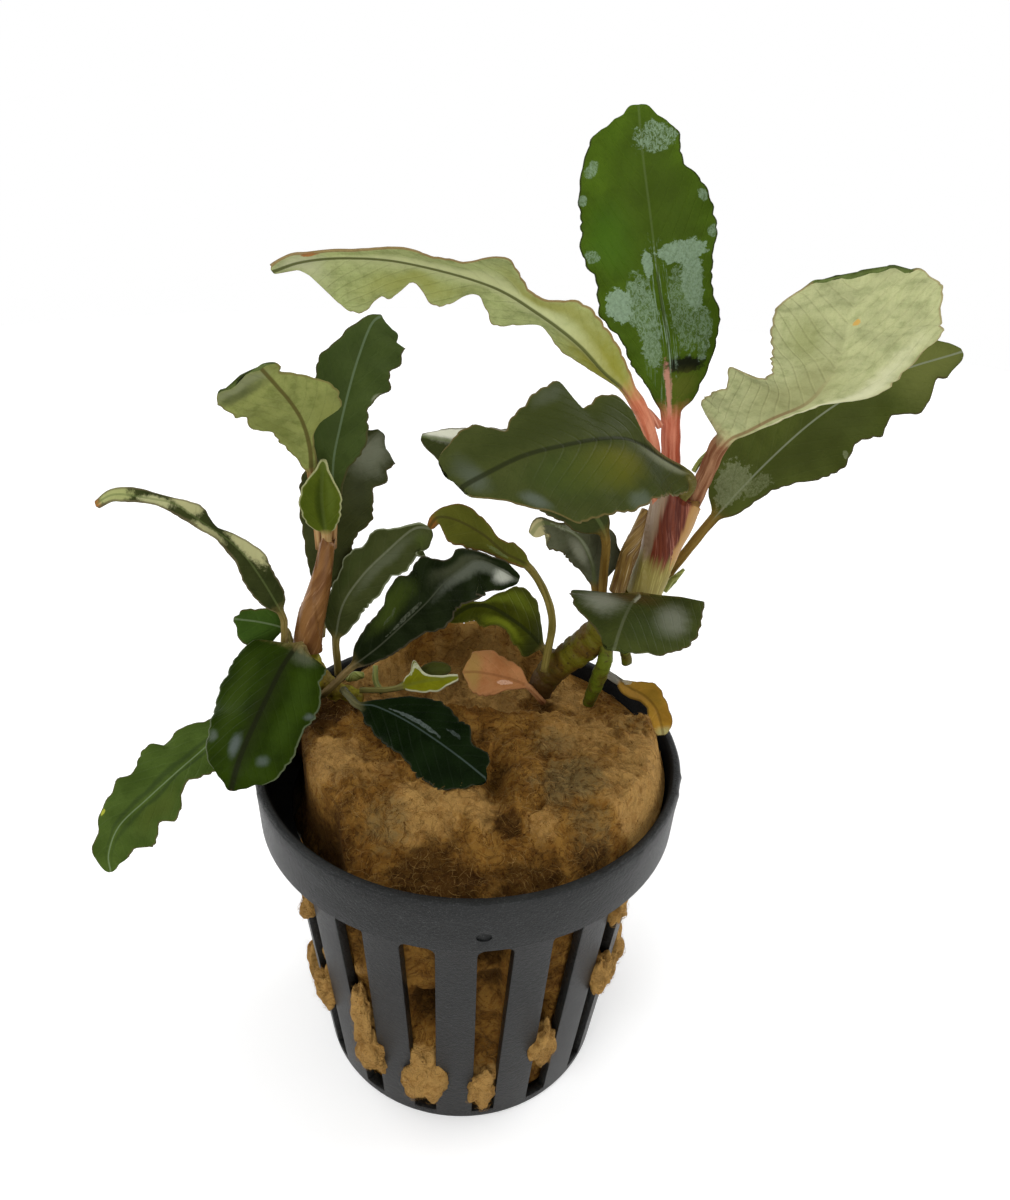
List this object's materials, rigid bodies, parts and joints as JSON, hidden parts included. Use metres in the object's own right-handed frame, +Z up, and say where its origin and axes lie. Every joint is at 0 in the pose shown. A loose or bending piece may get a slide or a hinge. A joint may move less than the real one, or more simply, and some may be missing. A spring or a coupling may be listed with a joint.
{
  "type": "potted aquarium plant",
  "caption": "Young bucephalandra with wavy dark green leaves, rooted in brown mineral wool inside a small slatted net pot.",
  "frame": {"origin": "centre of the pot's underside, in the plane it stands on", "axes": "+Z up along the pot's axis; -Y towards the viewer of the picture; +X to the viewer's right"},
  "size_m": [0.101, 0.054, 0.1219],
  "materials": {
    "pot": "moulded, slightly rough, lightly scuffed",
    "wool": "fibrous mineral wool, damp, with a little algae",
    "rhizome": "waxy, ringed",
    "sheath": "papery, streaked",
    "root": "fuzzy",
    "leaf_dark": "glossy, finely stippled",
    "leaf_green": "glossy, finely stippled",
    "leaf_pale": "matt underside, brown midrib",
    "leaf_olive": "thin, lit from behind",
    "leaf_lime": "thin, lit from behind",
    "leaf_pink": "thin, withered",
    "leaf_yellow": "withered"
  },
  "bodies": {
    "root": {"pot": "pot", "mineral_wool": "wool", "rhizome_right": "rhizome", "rhizome_left": "rhizome", "sheath_right": "sheath", "sheath_old": "sheath", "sheath_left": "sheath", "sheath_pale": "rhizome", "shoot_tip_pink": "sheath", "shoot_tip_green": "root", "bud_left": "root", "root_right_front": "root", "root_right_rear": "root", "root_left_loop": "root", "leaf_right_upright": "leaf_green", "leaf_right_arching": "leaf_pale", "leaf_right_front": "leaf_dark", "leaf_right_pale": "leaf_pale", "leaf_right_side": "leaf_green", "leaf_right_behind": "leaf_dark", "leaf_right_curled": "leaf_dark", "leaf_right_crown": "leaf_dark", "leaf_right_yellowed": "leaf_yellow", "leaf_right_olive": "leaf_olive", "leaf_right_low": "leaf_lime", "leaf_right_pink": "leaf_pink", "leaf_left_upright": "leaf_dark", "leaf_left_pale": "leaf_pale", "leaf_left_rear": "leaf_dark", "leaf_left_young": "leaf_green", "leaf_left_inner": "leaf_green", "leaf_left_glossy": "leaf_dark", "leaf_left_twisted": "leaf_green", "leaf_left_small": "leaf_green", "leaf_left_drooping": "leaf_dark", "leaf_left_low": "leaf_green", "leaf_left_on_wool": "leaf_dark", "leaf_left_curled": "leaf_lime", "leaf_left_oval": "leaf_olive"}
  },
  "joints": []
}
